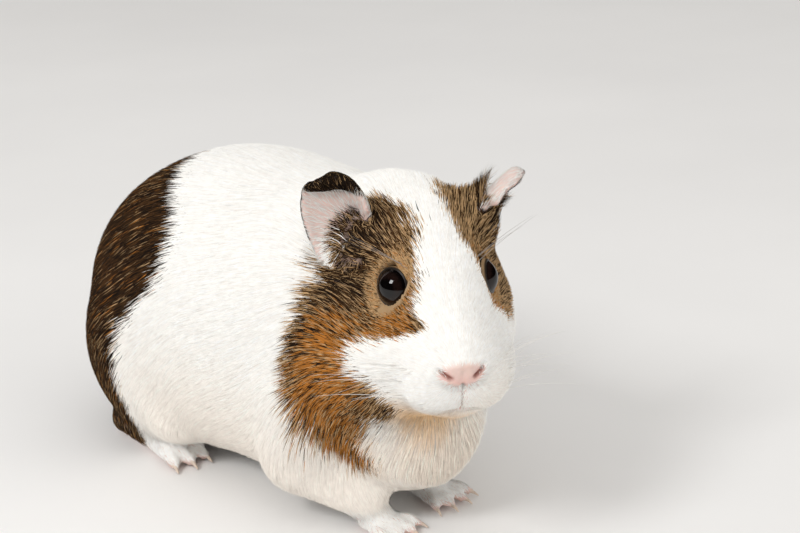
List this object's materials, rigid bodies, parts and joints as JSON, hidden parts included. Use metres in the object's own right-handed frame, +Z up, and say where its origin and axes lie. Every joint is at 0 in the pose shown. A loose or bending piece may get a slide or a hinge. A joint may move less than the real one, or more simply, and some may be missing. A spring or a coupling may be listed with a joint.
{
  "type": "guinea pig",
  "caption": "Still life-size model of a shorthaired guinea pig that stands on all four feet with its head raised and turned to its right.",
  "frame": {"origin": "on the floor, below the middle of the bounding box", "axes": "+Z up, the animal faces -Y, its right side is -X; +Y runs from nose to rump"},
  "size_m": [0.0978, 0.1984, 0.1122],
  "materials": {
    "coat": "short soft fur, white with dark brown and ginger patches",
    "bare_skin": "thin soft pink skin with sparse fine hair",
    "ear": "thin pink skin, finely haired, dark haired on the back of the rim",
    "eye": "wet black gloss",
    "claw": "pale translucent horn",
    "hair": "long stiff whiskers, mostly white"
  },
  "bodies": {
    "root": {"head": "coat", "neck": "coat", "trunk": "coat", "foreleg_right": "coat", "foreleg_left": "coat", "hindleg_right": "coat", "hindleg_left": "coat", "forefoot_right": "bare_skin", "forefoot_left": "bare_skin", "hindfoot_right": "bare_skin", "hindfoot_left": "bare_skin", "ear_right": "ear", "ear_left": "ear", "eye_right": "eye", "eye_left": "eye"}
  },
  "joints": []
}
